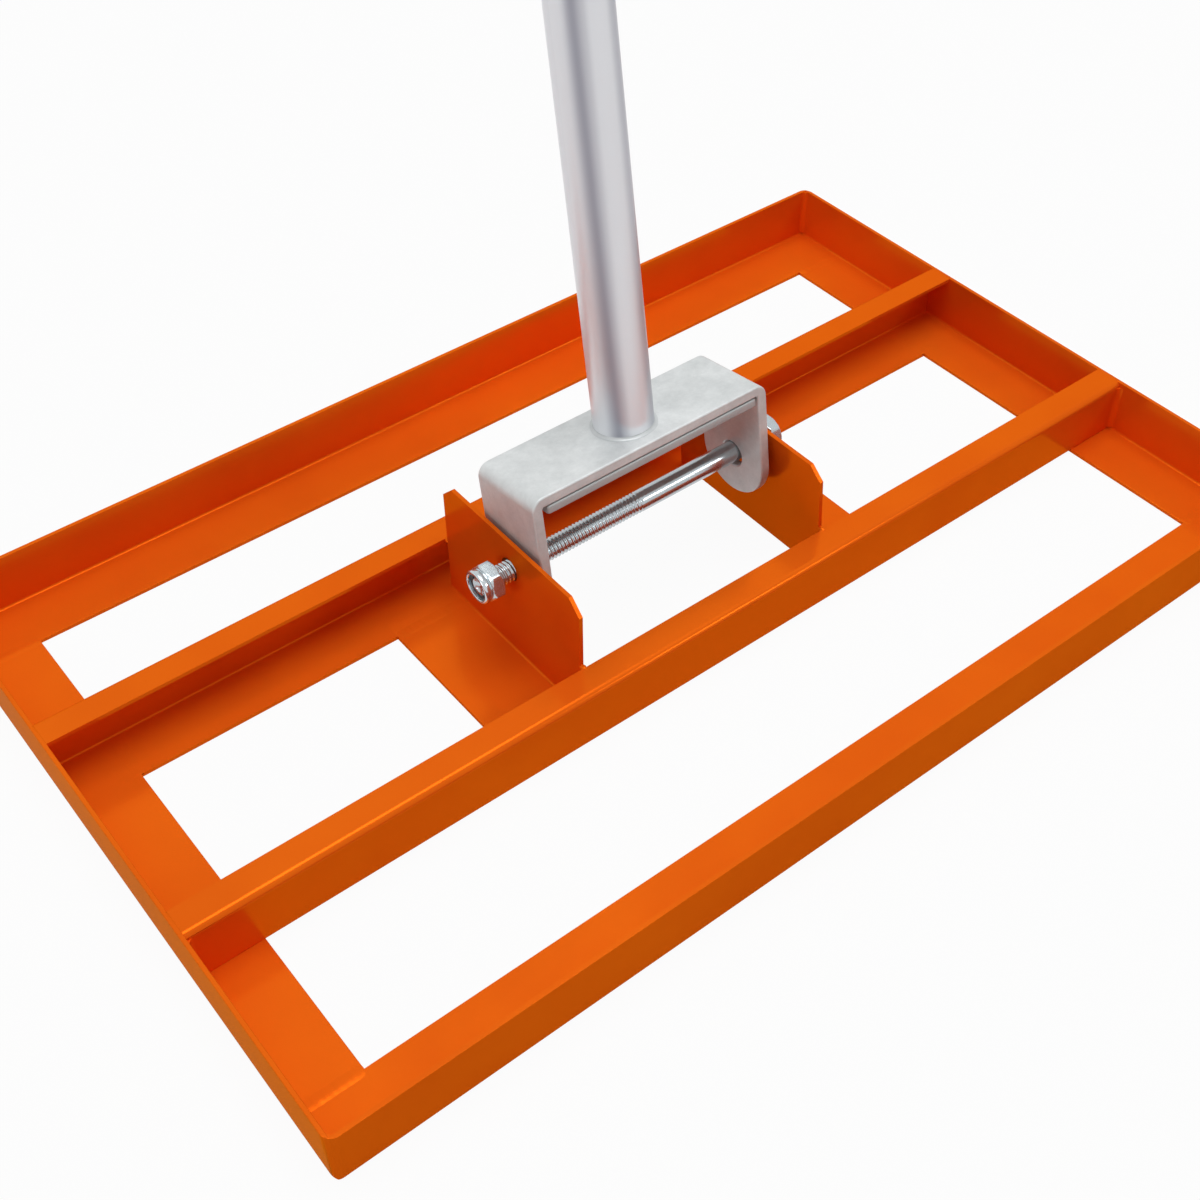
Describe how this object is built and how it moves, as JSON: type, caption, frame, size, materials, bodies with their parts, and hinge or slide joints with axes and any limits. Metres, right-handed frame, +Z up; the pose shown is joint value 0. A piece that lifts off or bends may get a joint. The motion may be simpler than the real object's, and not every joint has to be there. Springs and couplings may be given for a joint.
{
  "type": "lawn leveling rake",
  "caption": "Welded sheet steel leveling frame with two crossbars and a long pole on a yoke that swings on a bolt across the middle of the frame.",
  "frame": {"origin": "middle of the front rail's flat underside, on the ground", "axes": "+X to the right along the long rails, +Y from the front rail to the rear rail, +Z up; the pole leans towards +Y at rest"},
  "size_m": [0.42, 0.4264, 1.8185],
  "materials": {
    "head_paint": "glossy powder coat",
    "bolt_zinc": "bright zinc plate",
    "nut_zinc": "bright zinc plate",
    "nut_nylon": "dark nylon",
    "yoke_steel": "satin zinc plate",
    "weld_steel": "satin, ground smooth",
    "pole_steel": "satin zinc plate",
    "thread_steel": "plain machined",
    "grip_rubber": "matte",
    "cap_plastic": "matte"
  },
  "bodies": {
    "head": {"front_rail": "head_paint", "rear_rail": "head_paint", "left_end_rail": "head_paint", "right_end_rail": "head_paint", "front_crossbar": "head_paint", "rear_crossbar": "head_paint", "left_ear": "head_paint", "right_ear": "head_paint", "corner_welds": "head_paint", "crossbar_welds": "head_paint", "ear_welds": "head_paint"},
    "bolt": {"pivot_bolt": "bolt_zinc", "lock_nut": "nut_zinc", "nut_lock_ring": "nut_nylon"},
    "handle": {"yoke": "yoke_steel", "yoke_stiffener": "yoke_steel", "pole_foot_weld": "weld_steel", "pole_section_1": "pole_steel", "pole_section_2": "pole_steel", "pole_section_3": "pole_steel", "pole_section_4": "pole_steel", "pole_socket_1": "thread_steel", "pole_socket_2": "thread_steel", "pole_socket_3": "thread_steel", "pole_stud_1": "thread_steel", "pole_stud_2": "thread_steel", "pole_stud_3": "thread_steel", "grip": "grip_rubber", "end_cap": "cap_plastic"}
  },
  "joints": [
    {"name": "bolt_turn", "type": "hinge", "parent": "head", "child": "bolt", "pos_m": [0, 0.11975, 0.039], "axis": [1, 0, 0], "continuous": true},
    {"name": "handle_swing", "type": "hinge", "parent": "head", "child": "handle", "pos_m": [0, 0.11975, 0.039], "axis": [1, 0, 0], "range_deg": [-81, 99]}
  ]
}
